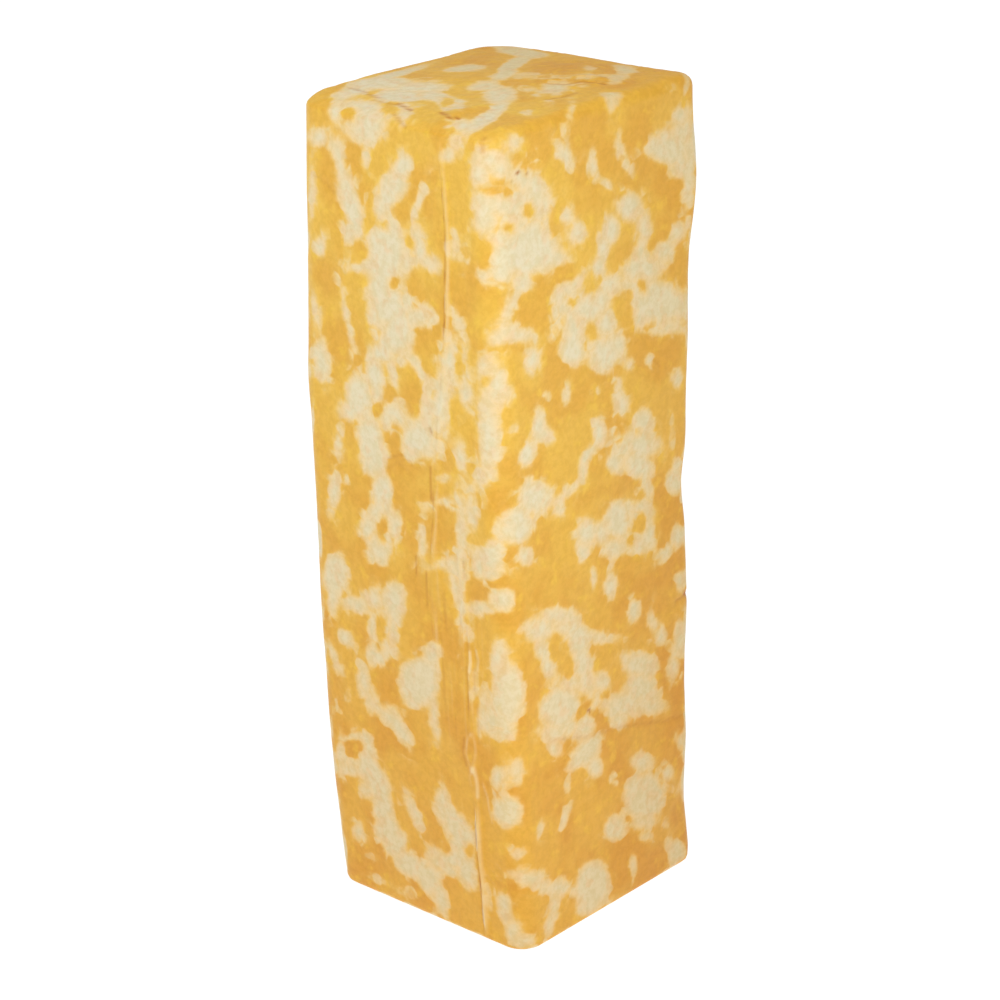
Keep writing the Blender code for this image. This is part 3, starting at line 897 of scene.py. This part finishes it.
def marbledCheese(look):
    material = bpy.data.materials.new("marbledCheese")
    material.use_nodes = True
    tree = material.node_tree
    shader = tree.nodes["Principled BSDF"]
    inMm = addNode(tree, "ShaderNodeVectorMath", operation="SCALE")
    inMm.inputs["Scale"].default_value = 1 / mm
    tree.links.new(addNode(tree, "ShaderNodeTexCoord").outputs["Object"], inMm.inputs[0])
    place = inMm.outputs[0]

    # the boundaries wander, and each curd of the voronoi field pushes them in or out
    wander = noiseField(tree, place, look["warpCell"])
    centred = addNode(tree, "ShaderNodeVectorMath", operation="SUBTRACT")
    centred.inputs[1].default_value = (0.5, 0.5, 0.5)
    tree.links.new(wander.outputs["Color"], centred.inputs[0])
    warped = addNode(tree, "ShaderNodeVectorMath", operation="MULTIPLY_ADD")
    warped.inputs[1].default_value = (look["warpBy"] * 2,) * 3
    tree.links.new(centred.outputs[0], warped.inputs[0])
    tree.links.new(place, warped.inputs[2])
    curds = addNode(tree, "ShaderNodeTexVoronoi", feature="SMOOTH_F1")
    curds.inputs["Scale"].default_value = 1 / look["curdCell"]
    curds.inputs["Smoothness"].default_value = 0.5
    tree.links.new(warped.outputs[0], curds.inputs["Vector"])
    curdPush = addNode(tree, "ShaderNodeSeparateColor")
    tree.links.new(curds.outputs["Color"], curdPush.inputs[0])
    fine = noiseField(tree, warped.outputs[0], look["fineCell"], detail=2.0)
    push = calculate(tree, "MULTIPLY_ADD", curdPush.outputs[0], look["curdBy"] * 2, -look["curdBy"])
    finePush = calculate(tree, "MULTIPLY_ADD", fine.outputs["Fac"], look["fineBy"] * 2, -look["fineBy"])
    guided = calculate(tree, "ADD", readAttribute(tree, "guide"), calculate(tree, "ADD", push, finePush))

    reach = look["fadeOver"]
    ramp = addNode(tree, "ShaderNodeValToRGB")
    stops = ramp.color_ramp.elements
    for order, (position, colour) in enumerate(look["ramp"]):
        stop = stops[order] if order < 2 else stops.new(position)
        stop.position = position
        stop.color = tint(colour)
    ramped = calculate(tree, "MULTIPLY_ADD", guided, 0.5 / reach, 0.5)
    tree.links.new(ramped, ramp.inputs["Fac"])

    # mottling: deeper and yellower patches in the deep curd, a blush in the pale
    palenessShare = between(tree, guided, -look["kindFade"], look["kindFade"])
    deepShare = calculate(tree, "SUBTRACT", 1.0, palenessShare)
    slow = noiseField(tree, place, look["mottleCells"][0])
    middling = noiseField(tree, warped.outputs[0], look["mottleCells"][1], detail=2.5)
    axes = addNode(tree, "ShaderNodeSeparateXYZ")
    tree.links.new(place, axes.inputs[0])
    deep, glow, blush, speck = (look[name] for name in ("deepMottle", "deepGlow", "paleBlush", "speck"))
    mottleAndPaintedShade = calculate(tree, "MULTIPLY", between(tree, slow.outputs["Fac"], *deep["span"]), deep["share"])
    # painted shade: the random deep mottle grows towards the foot and the far side
    for axis, (start, end, share) in (("Z", look["paintedShadeToFoot"]), ("X", look["paintedShadeToSide"])):
        mottleAndPaintedShade = calculate(tree, "MULTIPLY_ADD", between(tree, axes.outputs[axis], start, end), share, mottleAndPaintedShade)
    colour = mottled(tree, ramp.outputs[0], mottleAndPaintedShade, deepShare, deep["tone"])
    for patch, within in ((glow, deepShare), (blush, palenessShare)):
        patches = between(tree, middling.outputs["Fac"], *patch["span"])
        patches = calculate(tree, "MULTIPLY", patches, patch["share"])
        colour = mottled(tree, colour, patches, within, patch["tone"])
    specks = noiseField(tree, warped.outputs[0], speck["cell"], detail=3.0, roughness=0.65)
    specked = between(tree, specks.outputs["Fac"], *speck["span"])
    colour = blendColours(tree, specked, colour, tint(speck["tone"]), "MULTIPLY")
    # painted shade in grooves and pits, and painted highlight on crests and raised marks
    paintedShadeAndHighlight = readAttribute(tree, "paintedShadeAndHighlight")
    grooveShadeShare = between(tree, paintedShadeAndHighlight, 0.0, 1.0)
    crestHighlightShare = between(tree, paintedShadeAndHighlight, 0.0, -1.0)
    colour = blendColours(tree, crestHighlightShare, colour, tint(look["crestPaintedHighlightColour"]))
    colour = blendColours(tree, grooveShadeShare, colour, tint(look["creasePaintedShadeTone"]), "MULTIPLY")
    # painted shade towards the far side and the foot
    for axis, ((start, end), tone) in (("X", look["farSidePaintedShade"]), ("Z", look["footPaintedShade"])):
        share = between(tree, axes.outputs[axis], start, end)
        colour = blendColours(tree, share, colour, tint(tone), "MULTIPLY")
    # painted shade on the top, away from the folded face
    heights, places, tone = look["topPaintedShade"]
    onTop = calculate(tree, "MULTIPLY", between(tree, axes.outputs["Z"], *heights),
                      between(tree, axes.outputs["X"], *places))
    colour = blendColours(tree, onTop, colour, tint(tone), "MULTIPLY")
    tree.links.new(colour, shader.inputs["Base Color"])

    # satin, a little uneven, with the finest grain of the curd as bump
    grain = noiseField(tree, place, look["grainCell"], detail=4.0, roughness=0.6)
    spread = look["roughnessSpread"]
    rough = calculate(tree, "MULTIPLY_ADD", middling.outputs["Fac"], spread, look["roughness"] - spread / 2)
    tree.links.new(rough, shader.inputs["Roughness"])
    grainShare, fineShare = look["grainShares"]
    height = calculate(tree, "MULTIPLY", fine.outputs["Fac"], fineShare)
    height = calculate(tree, "MULTIPLY_ADD", grain.outputs["Fac"], grainShare, height)
    bump = addNode(tree, "ShaderNodeBump")
    bump.inputs["Strength"].default_value = look["bumpStrength"]
    bump.inputs["Distance"].default_value = look["bumpDepth"] * mm
    tree.links.new(height, bump.inputs["Height"])
    tree.links.new(bump.outputs["Normal"], shader.inputs["Normal"])
    shader.inputs["Subsurface Weight"].default_value = look["subsurface"]
    shader.inputs["Subsurface Radius"].default_value = look["subsurfaceTint"]
    shader.inputs["Subsurface Scale"].default_value = look["subsurfaceReach"] * mm
    shader.inputs["Specular IOR Level"].default_value = look["specular"]
    material.diffuse_color = tint(look["ramp"][2][1])
    return material


# The stage: a white floor, an even sky, a tall soft strip close to the near edge, and a soft light from
# above the folded face
stageLook = dict(
    floorSize=24.0,  # metres
    floorColour=(120, 120, 120),
    floorGlow=0.97,
    sky=0.48,
    lights=dict(
        stripLight=dict(place=(-62, -122, 170), aim=(-45, -42, 170), size=(60, 420), power=0.042),
        highLight=dict(place=(-400, -160, 1100), aim=(0, 0, 150), size=(420, 420), power=4.15),
    ),
)


def makeFloor(look):
    half = look["floorSize"] / 2
    mesh = bpy.data.meshes.new("floor")
    corners = [(-half, -half, 0), (half, -half, 0), (half, half, 0), (-half, half, 0)]
    mesh.from_pydata(corners, [], [(0, 1, 2, 3)])
    floor = putInScene("floor", mesh)
    material = bpy.data.materials.new("paleFloor")
    material.use_nodes = True
    shader = material.node_tree.nodes["Principled BSDF"]
    shader.inputs["Base Color"].default_value = tint(look["floorColour"])
    shader.inputs["Roughness"].default_value = 0.9
    shader.inputs["Specular IOR Level"].default_value = 0.1
    shader.inputs["Emission Color"].default_value = (1.0, 1.0, 1.0, 1.0)
    shader.inputs["Emission Strength"].default_value = look["floorGlow"]
    mesh.materials.append(material)


def makeLight(name, settings):
    data = bpy.data.lights.new(name, "AREA")
    data.shape = "RECTANGLE"
    data.size, data.size_y = np.array(settings["size"]) * mm
    data.energy = settings["power"]
    lamp = putInScene(name, data)
    place, aim = Vector(settings["place"]) * mm, Vector(settings["aim"]) * mm
    lamp.location = place
    lamp.rotation_euler = (aim - place).to_track_quat("-Z", "Y").to_euler()
    lamp.visible_camera = False  # the strip stands in the camera's way


def makeStage(look):
    makeFloor(look)
    for name, settings in look["lights"].items():
        makeLight(name, settings)
    world = bpy.data.worlds.new("evenSky")
    world.use_nodes = True
    world.node_tree.nodes["Background"].inputs["Color"].default_value = (1.0, 1.0, 1.0, 1.0)
    world.node_tree.nodes["Background"].inputs["Strength"].default_value = look["sky"]
    bpy.context.scene.world = world
    bpy.context.scene.view_settings.view_transform = "Standard"


makeCamera(photoView)
makeStage(stageLook)
print("camera and stage ready")

cheese = makeLoaf()
cheese.data.materials.append(marbledCheese(cheeseLook))
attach(cheese, "root")
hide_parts(loafNode)
print("loaf dressed")
